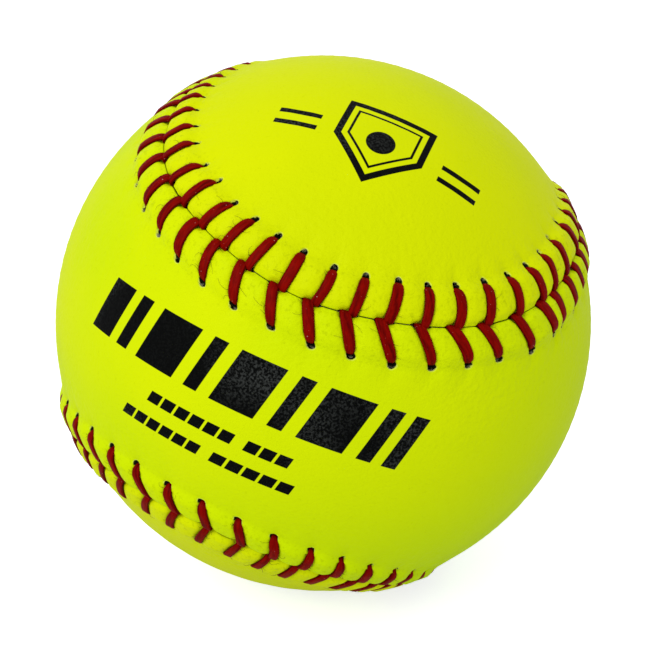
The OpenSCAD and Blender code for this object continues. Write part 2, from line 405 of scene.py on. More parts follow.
# %% Rows and columns of a panel
COLUMNS_A_STITCH = 16
COLUMNS = COLUMNS_A_STITCH * STITCHES
CROWDING = 0.5
COVER_T = 1.6
EDGE_ROUND = 0.34
SEAM_HALF_GAP = 0.03
SPINE_HALF = math.radians(97)
TUNNEL_END = 6.3
TUNNEL_SLOPE = 1.5
SPINE_ROWS = 13

corner = np.radians([0, 22, 45, 68, 90])
edge_d = SEAM_HALF_GAP + EDGE_ROUND * (1 - np.cos(corner))
edge_drop = EDGE_ROUND * (1 - np.sin(corner))
strip_d = np.concatenate([[0.6], np.linspace(1.0, 5.9, 12)])
hole_d = np.linspace(6.15, 8.95, 15)
plain_d = np.linspace(9.6, STRIP_END, 6)
sewn_d = np.concatenate([strip_d, hole_d, plain_d])
flesh_d = np.array([SEAM_HALF_GAP, 2.0, 4.2, TUNNEL_END, TUNNEL_END + 1.1, STRIP_END])
column = np.arange(COLUMNS)
even_n = column / COLUMNS_A_STITCH - 0.5
crowded_n = even_n - CROWDING * np.sin(2 * np.pi * even_n) / (2 * np.pi)


def columns(side, d):
    """Length along the seam of every column at the distances d: on the stitches' own lines beside
    the seam, and in even steps near the spine."""
    loose = ease(FADE_FROM, STRIP_END, d)
    return (1 - loose) * stitch_line(side, crowded_n, d) + loose * (even_n + 0.5) * STEP


def spine_way(side):
    """The direction of the spine opposite each column: it runs round the front from lobe to lobe,
    and the crown panel's is the same one turned half round the axis between X and Z."""
    share = column / COLUMNS
    if side == CROWN:
        share = np.mod(0.25 - share, 1)
    psi = SPINE_HALF * (1 - 4 * np.minimum(share, 1 - share))
    front = np.stack([np.sin(psi), -np.cos(psi), 0 * psi], axis=-1)
    return front if side == FRONT else np.stack([front[:, 2], -front[:, 1], front[:, 0]], axis=-1)


def to_spine(side, ways, rows):
    """Rows of directions from a last row to the spine, along great circles."""
    goal = spine_way(side)
    angle = np.arccos(np.clip(np.sum(ways * goal, axis=-1), -1, 1))[:, None]
    share = np.arange(1, rows + 1)[:, None, None] / rows
    return (np.sin((1 - share) * angle) * ways + np.sin(share * angle) * goal) / np.sin(angle)


print(COLUMNS, "columns,", len(edge_d) + len(sewn_d) + SPINE_ROWS, "rows on the grain side")


# %% Points of a panel
# Four numbers that each point carries for the finish, and their value far from any stitch
MARKS = ("hole_out", "hole_far", "beside", "sewn")
FAR_OFF = 20.0


def grain_rows(side):
    """The grain side, row by row: directions, radii, and the four numbers for the finish."""
    d = np.concatenate([edge_d, sewn_d])[:, None]
    n = np.broadcast_to(crowded_n, (len(d), COLUMNS))
    d = np.broadcast_to(d, n.shape)
    drop = np.concatenate([edge_drop, 0 * sewn_d])[:, None]
    ways = toward(columns(side, d), side * (true_distance(side, n, d) + seam_spread(side, n, d)))
    hole_out, hole_far = hole_place(side, n, d)
    notch = NOTCH_DEEP * (notch_share(side, n) * at_edge(d))
    pit = HOLE_DEEP * (1 - ease(*HOLE_WALL, hole_out))
    height = sewn_height(side, n, d) - drop - notch - pit
    spine = to_spine(side, ways[-1], SPINE_ROWS)
    blank = np.full((SPINE_ROWS, COLUMNS), FAR_OFF)
    marks = [np.concatenate([mark, blank]) for mark in (hole_out, hole_far, np.abs(past_thread(n)), d)]
    ways = np.concatenate([ways, spine])
    height = np.concatenate([height, 0 * blank])
    return ways, BALL_R + height + lumps(ways), marks


FLESH_LIFT = 0.95


def flesh_lift(n):
    """How far the flesh side is lifted over the tunnel, nearly as far as the strip."""
    return FLESH_LIFT * ROLL_RISE * between(strip_share, n)


def flesh_rows(side):
    """The flesh side: the cover's thickness in, and lifted over the tunnel that the threads run
    through beside the seam."""
    n = np.broadcast_to(crowded_n, (len(flesh_d), COLUMNS))
    d = np.broadcast_to(flesh_d[:, None], n.shape)
    ways = toward(columns(side, d), side * (true_distance(side, n, d) + seam_spread(side, n, d)))
    height = -COVER_T + flesh_lift(n) * (1 - ease(TUNNEL_END - TUNNEL_SLOPE, TUNNEL_END, d))
    spine = to_spine(side, ways[-1], SPINE_ROWS // 2)
    height = np.concatenate([height, np.full(spine.shape[:2], -COVER_T)])
    return np.concatenate([ways, spine]), BALL_R + height


def grid_faces(rows, flip):
    """Quads between neighbouring rows and columns, closed round the seam."""
    j = np.arange(rows - 1)[:, None]
    a, b = j * COLUMNS + column, j * COLUMNS + (column + 1) % COLUMNS
    quad = [a, a + COLUMNS, b + COLUMNS, b] if flip else [a, b, b + COLUMNS, a + COLUMNS]
    return np.stack(quad, axis=-1).reshape(-1, 4)


# %% The two panels
def cover_panel(name, side):
    """A panel as one closed grid: flesh rows from the spine to the seam, then grain rows back."""
    flesh_way, flesh_r = flesh_rows(side)
    grain_way, grain_r, marks = grain_rows(side)
    points = np.concatenate([flesh_way[::-1] * flesh_r[::-1, :, None], grain_way * grain_r[..., None]])
    faces = grid_faces(len(points), flip=side == CROWN)
    piece = make_piece(name, points.reshape(-1, 3), faces.tolist())
    blank = np.full(flesh_r.shape, FAR_OFF)
    for label, mark in zip(MARKS, marks):
        values = np.concatenate([blank, mark]).ravel().astype(np.float32)
        piece.data.attributes.new(label, "FLOAT", "POINT").data.foreach_set("value", values)
    close_spine(piece)
    return piece


def close_spine(piece):
    """Merge the points of the spine, on which both halves of the grid end."""
    bm = bmesh.new()
    bm.from_mesh(piece.data)
    bmesh.ops.remove_doubles(bm, verts=bm.verts, dist=1e-7)
    open_edges = sum(1 for e in bm.edges if len(e.link_faces) != 2)
    volume = round(bm.calc_volume(signed=True) / MM ** 3)
    print(piece.name, "volume", volume, "mm3,", open_edges, "open edges")
    bm.to_mesh(piece.data)
    bm.free()
    piece.data.shade_smooth()


front_cover = cover_panel("front_cover", FRONT)
crown_cover = cover_panel("crown_cover", CROWN)

# %% [markdown]
# ## Two threads
# Two needles close the seam. Each thread takes a stitch on one panel, dives into the seam, runs
# under the other panel and comes up through its next hole. So a thread is one strand from end to
# end: a flattened outline carried along that path. A ring of twelve points is enough, because a
# thread is only about ten pixels wide in the photograph.

# %% The path of a thread
THREAD_W = 1.92
THREAD_T = 0.78
RING = 12
BED = 0.03
# Distance from the seam, height against the leather, and shares of the width and the thickness,
# from the hole up over the strip and down into the seam, then on under the other panel
STATIONS = np.array([
    [6.86, -1.60, 0.62, 1.05],
    [6.84, -1.12, 0.68, 1.05],
    [6.74, -0.70, 0.78, 1.00],
    [6.50, -0.36, 0.89, 1.00],
    [6.05, -0.10, 0.96, 1.00],
    [5.40, -0.01, 1.00, 1.00],
    [4.50, 0.00, 1.01, 1.00],
    [3.50, 0.00, 1.02, 1.00],
    [2.40, 0.00, 1.01, 1.00],
    [1.40, 0.02, 0.99, 1.00],
    [0.70, 0.05, 0.97, 0.98],
    [0.22, 0.02, 0.94, 0.95],
    [-0.06, -0.20, 0.90, 0.92],
    [-0.18, -0.62, 0.86, 0.90],
    [-0.20, -1.30, 0.74, 0.90],
])
TUNNEL_STATIONS = np.array([[1.7, 0.62, 0.9], [6.0, 0.62, 0.9]])
TUNNEL_DEEP = 0.63
# How much wider a thread gets towards the seam, and how much narrower per millimetre its arms lie apart
SPLAY = {FRONT: 0.12, CROWN: -0.02}
CROSSED = 0.3
# A slit lets a thread through with this share of its own narrowness, from this distance on
SLIT_GRIP = 0.7
GRIP_FROM = 5.5


def stitch_sides(first):
    """The panel that each stitch of a thread lies on: every other one."""
    return np.where(np.arange(STITCHES) % 2 == 0, first, -first)


def arm_rows(side, k):
    """Lengths along the seam, distances across it, radii and half sizes of one side's stitches."""
    d, lift, wide, thick = (STATIONS[:, i] + 0 * k[:, None] for i in range(4))
    n = k[:, None] + 0 * d
    bed = sewn_height(side, n, np.clip(d, 0.05, 6.0))
    r = BALL_R + bed + BED + THREAD_T / 2 + lift
    crossed = CROSSED * np.maximum(between(apart, n), 0)
    splay = 1 + (SPLAY[side] - crossed) * np.clip(1 - d / HOLE_ROW, 0, 1)
    grip = SLIT_GRIP * (1 - between(hands[side]["slit"], n))
    narrow = 1 - grip * ease(GRIP_FROM, HOLE_ROW, d)
    half = THREAD_W / 2 * wide * splay * between(hands[side]["width"], n) * narrow
    return stitch_line(side, n, d), side * true_distance(side, n, d), r, half, THREAD_T / 2 * thick


def under_rows(side, k, s_dive):
    """The run under the other panel, from the seam to that panel's next hole."""
    d, wide, thick = (TUNNEL_STATIONS[:, i] + 0 * k[:, None] for i in range(3))
    share = d / HOLE_ROW
    goal = stitch_line(-side, k + 1, np.float64(HOLE_ROW))[:, None]
    s = s_dive[:, None] * (1 - share) + goal * share
    n = k[:, None] + 1 + 0 * d
    r = BALL_R - COVER_T + flesh_lift(n) - TUNNEL_DEEP
    return s, -side * true_distance(-side, n, d), r, THREAD_W / 2 * wide, THREAD_T / 2 * thick


def thread_rows(first):
    """All rings of a thread in order: the arm and the run of each stitch, stitch after stitch."""
    sides = stitch_sides(first)
    rows = np.zeros((STITCHES, len(STATIONS) + len(TUNNEL_STATIONS), 5))
    for side in (FRONT, CROWN):
        k = np.flatnonzero(sides == side)
        arm = np.stack(arm_rows(side, k), axis=-1)
        under = np.stack(under_rows(side, k, arm[:, -1, 0]), axis=-1)
        rows[k] = np.concatenate([arm, under], axis=1)
    return rows.reshape(-1, 5)[: -1]


print(len(STATIONS) + len(TUNNEL_STATIONS), "rings a stitch")

# %% The strand along that path
FLATNESS = 0.7
PLY_DIP = 0.05
PLY_WIDE = 0.3


def strand(name, rows):
    """A ring at each row: x is the cosine and y the sine of an angle, each drawn out to a power,
    with a shallow dip along the middle of the outer side where the two plies lie together."""
    s, w, r, half_w, half_t = rows.T
    centre = toward(s, w) * r[:, None]
    ahead = unit(np.gradient(centre, axis=0))
    along = seam_frame(s)[1]
    flat = unit(along - np.sum(along * ahead, axis=1, keepdims=True) * ahead)
    up = np.cross(ahead, flat)
    angle = np.arange(RING) * 2 * np.pi / RING
    x = np.sign(np.cos(angle)) * np.abs(np.cos(angle)) ** FLATNESS
    y = np.sign(np.sin(angle)) * np.abs(np.sin(angle)) ** FLATNESS
    side = half_w[:, None] * x
    rise = half_t[:, None] * y - PLY_DIP * np.exp(-(x / PLY_WIDE) ** 2) * np.sign(y)
    points = centre[:, None] + side[..., None] * flat[:, None] + rise[..., None] * up[:, None]
    ring = np.arange(RING)
    start = np.arange(len(rows) - 1)[:, None] * RING
    a, b = (start + ring).ravel(), (start + (ring + 1) % RING).ravel()
    faces = np.stack([a, b, b + RING, a + RING], axis=-1).tolist()
    last = (len(rows) - 1) * RING
    faces += [ring[::-1].tolist(), (last + ring).tolist()]
    piece = make_piece(name, points.reshape(-1, 3), faces)
    run = np.concatenate([[0], np.cumsum(np.linalg.norm(np.diff(centre, axis=0), axis=1))])
    lay_uv(piece, run)
    return piece


def lay_uv(piece, run):
    """A UV map: u is the way along the strand in millimetres, v the share of the way round it."""
    mesh = piece.data
    corner = np.zeros(len(mesh.loops), np.int32)
    mesh.loops.foreach_get("vertex_index", corner)
    u = run[corner // RING]
    v = (corner % RING).astype(float)
    start = np.zeros(len(mesh.polygons), np.int32)
    mesh.polygons.foreach_get("loop_start", start)
    total = np.zeros(len(mesh.polygons), np.int32)
    mesh.polygons.foreach_get("loop_total", total)
    face = np.repeat(np.arange(len(start)), total)
    top = np.maximum.reduceat(v, start)[face]
    v = np.where((top == RING - 1) & (v == 0) & (total[face] == 4), RING, v)
    uv = np.stack([u, v / RING], axis=-1)
    mesh.uv_layers.new(name="strand").data.foreach_set("uv", uv.ravel().astype(np.float32))


first_strand = strand("first_strand", thread_rows(CROWN))
second_strand = strand("second_strand", thread_rows(FRONT))

# %% [markdown]
# ## Loose fibres
# Waxed thread sheds fibres as it is pulled through the leather, and they cling beside the
# stitches. Blender's hair would do, but it is lost in an export, so these are nine hundred
# three-sided hairs in one mesh.

# %% Fibres beside the stitches
FIBRES = 900
FIBRE_R = 0.034
FIBRE_TIP = 0.45
BRISTLES = 0.7
FIBRE_RINGS = 5
FIBRE_SEED = 31
FLANK = 0.8
# Stretches of stitches with more fibres
FUZZY = [(21, 28), (65, 73)]


def fibre_path(side, k, start_d, start_x, angle, length, bend):
    """Places of a set of fibres: each runs straight from the thread's flank, in a direction given
    by an angle, and turns by its bend as it goes. It lies on the leather and lifts in the middle."""
    t = np.linspace(0, 1, FIBRE_RINGS)[None]
    turn = angle[:, None] + bend[:, None] * t
    x = start_x[:, None] + length[:, None] * t * np.cos(turn)
    d = np.clip(start_d[:, None] + length[:, None] * t * np.sin(turn), 0.2, 12)
    n = k[:, None] + x / STEP
    lift = sewn_height(side, n, d) + 0.05 + 0.16 * np.sin(np.pi * t)
    way = toward(stitch_line(side, n, d), side * true_distance(side, n, d))
    return way, way * (BALL_R + lift)[..., None]


def drawn_fibres(rng, side):
    """The fibres of one panel: short bristles and a few long hairs, clustered at some stitches
    because their number there goes with the square of a random share, with more at two stretches."""
    odds = rng.random(STITCHES) ** 2 + 0.15
    for first, last in FUZZY:
        odds[first:last] += 0.6
    k = rng.choice(STITCHES, FIBRES // 2, p=odds / odds.sum())
    flank = rng.choice([-1.0, 1.0], len(k))
    angle = np.where(flank > 0, 0, np.pi) + rng.normal(0, 0.6, len(k))
    long = rng.random(len(k)) > BRISTLES
    length = np.where(long, rng.uniform(0.8, 2.3, len(k)), rng.uniform(0.25, 0.8, len(k)))
    bend = rng.normal(0, 0.8, len(k))
    start = rng.uniform(0.3, 6.6, len(k))
    return fibre_path(side, k, start, FLANK * flank, angle, length, bend)


def fibres():
    """All fibres as one mesh: a triangle at each place of a fibre, smaller and smaller to its tip."""
    rng = np.random.default_rng(FIBRE_SEED)
    paths = [drawn_fibres(rng, side) for side in (FRONT, CROWN)]
    way, centre = (np.concatenate(parts) for parts in zip(*paths))
    ahead = unit(np.gradient(centre, axis=1))
    flat = unit(np.cross(ahead, way))
    up = np.cross(flat, ahead)
    corner_turn = np.arange(3) * 2 * np.pi / 3
    r = FIBRE_R * np.linspace(1, FIBRE_TIP, FIBRE_RINGS)[None, :, None, None]
    ring = np.cos(corner_turn)[:, None] * flat[:, :, None] + np.sin(corner_turn)[:, None] * up[:, :, None]
    points = centre[:, :, None] + r * ring
    first = np.arange(FIBRES)[:, None, None] * FIBRE_RINGS * 3 + np.arange(FIBRE_RINGS - 1)[:, None] * 3
    i = np.arange(3)
    sides = np.stack([first + i, first + 3 + i, first + 3 + (i + 1) % 3, first + (i + 1) % 3], axis=-1)
    root = np.arange(FIBRES) * FIBRE_RINGS * 3
    tip = root + (FIBRE_RINGS - 1) * 3
    ends = [[a, a + 1, a + 2] for a in root.tolist()] + [[b + 2, b + 1, b] for b in tip.tolist()]
    return make_piece("thread_fibres", points.reshape(-1, 3), sides.reshape(-1, 4).tolist() + ends)


thread_fibres = fibres()

# %% [markdown]
# ## Materials
# Every finish is a small graph of procedural nodes. One helper adds a node and joins its inputs,
# and short ones stand for what is used again and again, so each material reads as a list of what
# it is made of.


# %% Helpers for node graphs
def new_material(name):
    """A material and its tree, which starts with one shader joined to the output."""
    material = bpy.data.materials.new(name)
    material.use_nodes = True
    return material, material.node_tree


def join(tree, target, value):
    """Join an input to a socket, or set it to a value."""
    if isinstance(value, bpy.types.NodeSocket):
        tree.links.new(value, target)
    else:
        target.default_value = value


def node(tree, kind, inputs=(), **settings):
    """A node with its settings, its inputs joined to sockets or set to values."""
    made = tree.nodes.new("ShaderNode" + kind)
    for key, value in settings.items():
        setattr(made, key, value)
    for key, value in dict(inputs).items():
        join(tree, made.inputs[key], value)
    return made


def coat(tree, colour, roughness, specular=0.5):
    """Give the shader its colour, its roughness and its share of mirror shine."""
    shader = tree.nodes["Principled BSDF"]
    join(tree, shader.inputs["Base Color"], colour)
    join(tree, shader.inputs["Roughness"], roughness)
    join(tree, shader.inputs["Specular IOR Level"], specular)


def emboss(tree, height, strength, depth):
    """Show a height as bump, where a height of 1 is the depth in metres."""
    bump = node(tree, "Bump", {"Height": height, "Strength": strength, "Distance": depth})
    tree.links.new(bump.outputs[0], tree.nodes["Principled BSDF"].inputs["Normal"])


def object_place(tree):
    """The place of a point on its piece, in metres."""
    return node(tree, "TexCoord").outputs["Object"]


# %% Helpers for numbers and colours in a graph
def maths(tree, operation, *values):
    """The result of one operation on sockets or numbers."""
    return node(tree, "Math", enumerate(values), operation=operation).outputs[0]


def times(tree, first, *more):
    """The product of two or more sockets or numbers."""
    for value in more:
        first = maths(tree, "MULTIPLY", first, value)
    return first


def blend(tree, share, a, b):
    """The colour that lies a share of the way from a to b."""
    return node(tree, "Mix", {0: share, 6: a, 7: b}, data_type="RGBA").outputs[2]


def ramp(tree, value, low, high, start, end):
    """From start, where value is low, in a straight line to end, where it is high."""
    return node(tree, "MapRange", {0: value, 1: low, 2: high, 3: start, 4: end}).outputs[0]


def band(tree, value, low, high):
    """0 where value is up to low, 1 from high on, and a smooth S between."""
    ends = {0: value, 1: low, 2: high, 3: 0, 4: 1}
    return node(tree, "MapRange", ends, interpolation_type="SMOOTHSTEP").outputs[0]


def fall(tree, value, low, high):
    """1 where value is up to low, 0 from high on, and a smooth S between."""
    return maths(tree, "SUBTRACT", 1, band(tree, value, low, high))


def noise(tree, place, scale, detail=2.0, roughness=0.5):
    """Smooth noise from 0 to 1."""
    settings = {"Vector": place, "Scale": scale, "Detail": detail, "Roughness": roughness}
    return node(tree, "TexNoise", settings).outputs[0]


# %% [markdown]
# ## The cover's finish
# The cover is a coated leather in optic yellow with a fine grain. Its colour drifts a little over
# the ball and a few specks of dust lie on it. The front panel is painted greener as shade, most
# towards its lower lobe, and grain pits, puckers, the leather beside the threads and the cut edges
# in the seam are darkened as painted shade. The holes are black inside as painted shadow, with
# painted light on grey patches of their cut far walls, and their rims have painted shade and a
# painted highlight. The marks on the ball are printed in black ink, which lets some grain through,
# and slow patches of grey specks in it are a painted sheen. They are plain shapes of our own: a row
# of slanted blocks with two broken rules under it on the front, and a home plate with a disc on
# the crown. Each is worked out from the place on the ball, so it stays sharp at any size.

# %% Where a print lies on the ball
def print_axes(azimuth, elevation, turn):
    """Three axes of a print: its line, the way up from it, and the way out of the ball."""
    a, e, t = (math.radians(x) for x in (azimuth, elevation, turn))
    out = np.array([math.sin(a) * math.cos(e), -math.cos(a) * math.cos(e), math.sin(e)])
    east = unit(np.cross([0, 0, 1], out))
    north = np.cross(out, east)
    line = math.cos(t) * east + math.sin(t) * north
    return line, np.cross(out, line), out


def print_place(tree, azimuth, elevation, turn):
    """Millimetres along and across a print: the arcs whose sines are the place's shares of each
    axis. A third number is 1 on the print's side of the ball and 0 behind it."""
    way = node(tree, "VectorMath", {0: object_place(tree)}, operation="NORMALIZE").outputs[0]
    shares = []
    for axis in print_axes(azimuth, elevation, turn):
        share = node(tree, "VectorMath", {0: way, 1: axis.tolist()}, operation="DOT_PRODUCT")
        shares.append(share.outputs["Value"])
    along, across, out = shares
    arcs = [times(tree, maths(tree, "ARCSINE", x), BALL_R) for x in (along, across)]
    return arcs[0], arcs[1], maths(tree, "GREATER_THAN", out, 0.2)


# %% Shapes to print
PRINT_SOFT = 0.12


def block(tree, x, y, x0, x1, y0, y1):
    """1 inside a block from x0 to x1 and from y0 to y1, with soft edges."""
    past_left = band(tree, x, x0, x0 + PRINT_SOFT)
    up_to_right = fall(tree, x, x1 - PRINT_SOFT, x1)
    past_foot = band(tree, y, y0, y0 + PRINT_SOFT)
    up_to_head = fall(tree, y, y1 - PRINT_SOFT, y1)
    return times(tree, past_left, up_to_right, past_foot, up_to_head)


def greatest(tree, values):
    """The greatest of all values, which is 1 where any of a set of marks is."""
    share = values[0]
    for more in values[1:]:
        share = maths(tree, "MAXIMUM", share, more)
    return share


# %% The marks on the front panel
# Azimuth, elevation and turn of the print, in degrees
FRONT_PRINT = (4.8, 10.0, -20.3)
SLANT = 0.25
BAR_ENDS = (-8.2, 2.9)
# From where to where each bar goes along the print
BARS = [(-36, -30), (-28, -25), (-22.5, -13.5), (-11, -8), (-5.5, 3.5), (6, 9), (11.5, 20.5), (23, 26),
        (28, 31)]
# From where to where a row of dashes goes, its height on the print and its number of dashes
DASHES = [(-15.5, 3, -13.6, 6), (5, 14.2, -13.6, 3), (-18.8, -1, -19.0, 6), (1, 17.5, -19.0, 5)]
DASH_HALF = 1.25
DASH_GAP = (0.07, 0.10)


def front_marks(tree):
    """A row of slanted bars of unequal width, and two lines of short dashes below it. The dashes
    are where a wave that goes up and down once a dash is past its gap."""
    x, y, facing = print_place(tree, *FRONT_PRINT)
    leaning = maths(tree, "SUBTRACT", x, times(tree, y, SLANT))
    marks = [block(tree, leaning, y, x0, x1, *BAR_ENDS) for x0, x1 in BARS]
    for x0, x1, middle, count in DASHES:
        beat = times(tree, maths(tree, "SUBTRACT", leaning, x0), count / (x1 - x0))
        dash = band(tree, maths(tree, "PINGPONG", beat, 0.5), *DASH_GAP)
        rule = block(tree, leaning, y, x0, x1, middle - DASH_HALF, middle + DASH_HALF)
        marks.append(times(tree, dash, rule))
    return times(tree, greatest(tree, marks), facing)


# %% The marks on the crown panel
CROWN_PRINT = (32.9, 53.0, -35.1)
PLATE_UP = 1.6
PLATE_HALF = 8.8
POINT_SUM = 10.2
# Each line of the plate: how far in it starts, and how wide it is
PLATE_LINES = ((0, 1.3), (2.3, 0.5))
DISC_EDGE = (2.7, 2.85)
RULE_ENDS = (12, 20.5)
RULE_LOWS = (-2.2, 0.9)
RULE_HIGH = 1.3


def crown_marks(tree):
    """A home plate drawn as a thick and a thin line, with a disc in it and two rules on either
    side. The distance past the plate's edge is the greatest of those past its sides, top and
    point, and a place is past the point where its way to the side and down add up to more."""
    x, y, facing = print_place(tree, *CROWN_PRINT)
    y = maths(tree, "SUBTRACT", y, PLATE_UP)
    side = maths(tree, "ABSOLUTE", x)
    past_side = maths(tree, "SUBTRACT", side, PLATE_HALF)
    past_top = maths(tree, "SUBTRACT", y, PLATE_HALF)
    side_and_down = maths(tree, "SUBTRACT", side, y)
    past_point = times(tree, maths(tree, "SUBTRACT", side_and_down, POINT_SUM), 0.7071)
    edge = greatest(tree, [past_side, past_top, past_point])
    marks = []
    for inset, wide in PLATE_LINES:
        inner = band(tree, edge, -inset - wide - 0.1, -inset - wide)
        marks.append(times(tree, inner, fall(tree, edge, -inset - 0.1, -inset)))
    flat = node(tree, "CombineXYZ", {0: x, 1: y}).outputs[0]
    far = node(tree, "VectorMath", {0: flat}, operation="LENGTH").outputs["Value"]
    marks.append(fall(tree, far, *DISC_EDGE))
    marks += [block(tree, side, y, *RULE_ENDS, low, low + RULE_HIGH) for low in RULE_LOWS]
    return times(tree, greatest(tree, marks), facing)


# %% Colours of the cover
# The front panel's yellows are a little greener than the crown's: a painted shade tint
OPTIC_YELLOW = {FRONT: (0.725, 0.86, 0.0, 1), CROWN: (0.74, 0.84, 0.0, 1)}
DEEP_YELLOW = {FRONT: (0.65, 0.83, 0.0, 1), CROWN: (0.68, 0.80, 0.0, 1)}
# Painted shade: the front panel turns greener towards its lower lobe
LOW_SHADE_GREEN = (0.60, 0.82, 0.0, 1)
SHADE_GREEN = (0.30, 0.38, 0.0, 1)
SPECK_OLIVE = (0.10, 0.12, 0.035, 1)
# Painted highlight on the far end of the holes' rims
RIM_HIGHLIGHT = (0.80, 0.90, 0.16, 1)
# Painted shadow inside the holes, and the cut walls' grey partly painted light
HOLE_SHADOW_BLACK = (0.006, 0.007, 0.003, 1)
LIT_CUT_GREY = (0.33, 0.34, 0.23, 1)
# Painted shade on the cut edges in the seam
SEAM_SHADE_BROWN = (0.02, 0.022, 0.0, 1)
INK = (0.0016, 0.0018, 0.0016, 1)
# Painted sheen of the ink, in grey specks
INK_GRAIN_SHEEN = (0.042, 0.046, 0.042, 1)
SHINE = 0.025

# Where each of these fades out. In metres up the ball, and in millimetres from the seam
LOW_SHADE_FADE = (-0.045, 0.012)
PIT_SHADE_FADE = (6.0, 11.5)
ON_STRIP = (6.3, 6.8)
EDGE_FADE = (0.02, 0.11)
# Millimetres from the middle of a thread, and how far out of a hole
SHADE_FADE = (1.08, 1.44)
RIM_FADE = (1.20, 1.46)
HOLE_FADE = (1.12, 1.20)


# %% The leather with its marks
def leather_colour(tree, side, spot, grain):
    """Optic yellow that drifts slowly, with painted shade in grain pits here and there and a few specks.
    The front panel is painted greener as shade, and more so towards its lower lobe."""
    drift = band(tree, noise(tree, spot, 26, 3), 0.3, 0.7)
    colour = blend(tree, drift, OPTIC_YELLOW[side], DEEP_YELLOW[side])
    # Painted shade: the front panel greener towards its lower lobe
    if side == FRONT:
        height = node(tree, "SeparateXYZ", {0: spot}).outputs[2]
        colour = blend(tree, fall(tree, height, *LOW_SHADE_FADE), colour, LOW_SHADE_GREEN)
    # Painted shade in the grain's pits
    pit_shade = times(tree, band(tree, grain, 0.60, 0.78), 0.16)
    colour = blend(tree, pit_shade, colour, SHADE_GREEN)
    dust = node(tree, "TexVoronoi", {"Vector": spot, "Scale": 75.0}, feature="F1")
    lot = node(tree, "SeparateColor", {0: dust.outputs["Color"]}).outputs[0]
    speck = fall(tree, dust.outputs["Distance"], 0.010, 0.020)
    return blend(tree, times(tree, speck, band(tree, lot, 0.78, 0.80), 0.6), colour, SPECK_OLIVE)


def worn_ink_and_sheen(tree, spot):
    """Where leather shows through the ink: fine specks, many in slow patches and few elsewhere. The
    slow patches of grey specks are also a painted sheen on the ink.
    """
    specks = band(tree, noise(tree, spot, 2300, 2, 0.6), 0.42, 0.66)
    return times(tree, specks, ramp(tree, noise(tree, spot, 42, 1), 0.46, 0.64, 0.06, 1.0))


# %% The leather along the seam
def mark_of(tree, label):
    """One of the numbers that the mesh carries for its finish."""
    return node(tree, "Attribute", attribute_name=label).outputs["Fac"]


def strip_colour(tree, spot, colour):
    """Painted shade in olive pits of the puckered strip, and painted shade beside the threads."""
    sewn = mark_of(tree, "sewn")
    # Painted shade in olive pits of the puckered strip
    pit_shade = times(tree, band(tree, noise(tree, spot, 1250, 2, 0.65), 0.52, 0.72), 0.26)
    colour = blend(tree, times(tree, pit_shade, fall(tree, sewn, *PIT_SHADE_FADE)), colour, SHADE_GREEN)
    # Painted shade beside the threads
    ragged = times(tree, noise(tree, spot, 900, 2), 0.5)
    beside = fall(tree, maths(tree, "ADD", mark_of(tree, "beside"), ragged), *SHADE_FADE)
    shade = times(tree, beside, fall(tree, sewn, *ON_STRIP), 0.5)
    return blend(tree, shade, colour, SHADE_GREEN)


def hole_colour(tree, spot, colour):
    """The holes: black inside as painted shadow, with the grey cut wall in painted light in patches
    at the far end, and a rim of painted shade and painted highlight round them. The seam's cut edge
    is painted dark as shade."""
    ragged = noise(tree, spot, 900, 2)
    out = maths(tree, "ADD", mark_of(tree, "hole_out"), times(tree, ragged, 0.30))
    far = maths(tree, "ADD", mark_of(tree, "hole_far"), times(tree, ragged, 0.9))
    # Painted shade on the rim's near end and a painted highlight at its far end
    rim = blend(tree, band(tree, far, 0.2, 0.7), SHADE_GREEN, RIM_HIGHLIGHT)
    colour = blend(tree, times(tree, fall(tree, out, *RIM_FADE), 0.55), colour, rim)
    # Painted shadow: the holes are black inside, with painted light on grey patches of the far wall
    patches = band(tree, noise(tree, spot, 1300, 1), 0.44, 0.56)
    lit = times(tree, band(tree, far, 0.7, 1.3), patches, fall(tree, far, 1.3, 1.5))
    wall = blend(tree, lit, HOLE_SHADOW_BLACK, LIT_CUT_GREY)
    colour = blend(tree, fall(tree, out, *HOLE_FADE), colour, wall)
    # Painted shade on the cut edges in the seam
    seam_edge_shade = times(tree, fall(tree, mark_of(tree, "sewn"), *EDGE_FADE), 0.6)
    return blend(tree, seam_edge_shade, colour, SEAM_SHADE_BROWN)


# %% The cover material
def hide_relief(tree, spot, grain):
    """Fine grain in a net of cracks, with creases: deep ones beside the stitches, shallow ones
    beyond them, and some in patches where the hide is softer."""
    net = node(tree, "TexVoronoi", {"Vector": spot, "Scale": 900.0}, feature="DISTANCE_TO_EDGE")
    cracks = times(tree, band(tree, net.outputs[0], 0, 0.25), 0.4)
    soft_hide = times(tree, band(tree, noise(tree, spot, 30, 1), 0.42, 0.62), 2.6)
    creases = maths(tree, "ADD", ramp(tree, mark_of(tree, "sewn"), 4, 17, 2.8, 0.5), soft_hide)
    folds = maths(tree, "ADD", noise(tree, spot, 330, 3, 0.65), noise(tree, spot, 900, 1))
    relief = maths(tree, "ADD", times(tree, grain, 0.9), cracks)
    return maths(tree, "ADD", relief, times(tree, folds, creases))


def cover_finish(name, side, marks):
    """The leather's colour under the printed marks, then the shade and holes along the seam, on a
    fine grain that also lets a little of the ink through."""
    material, tree = new_material(name)
    spot = object_place(tree)
    grain = noise(tree, spot, 1500, 3, 0.6)
    # Ink with worn specks and a painted sheen in slow patches
    ink = blend(tree, worn_ink_and_sheen(tree, spot), INK, INK_GRAIN_SHEEN)
    colour = blend(tree, marks(tree), leather_colour(tree, side, spot, grain), ink)
    colour = hole_colour(tree, spot, strip_colour(tree, spot, colour))
    coat(tree, colour, ramp(tree, grain, 0.3, 0.8, 0.42, 0.6), SHINE)
    emboss(tree, hide_relief(tree, spot, grain), 0.5, 0.00008)
    return material


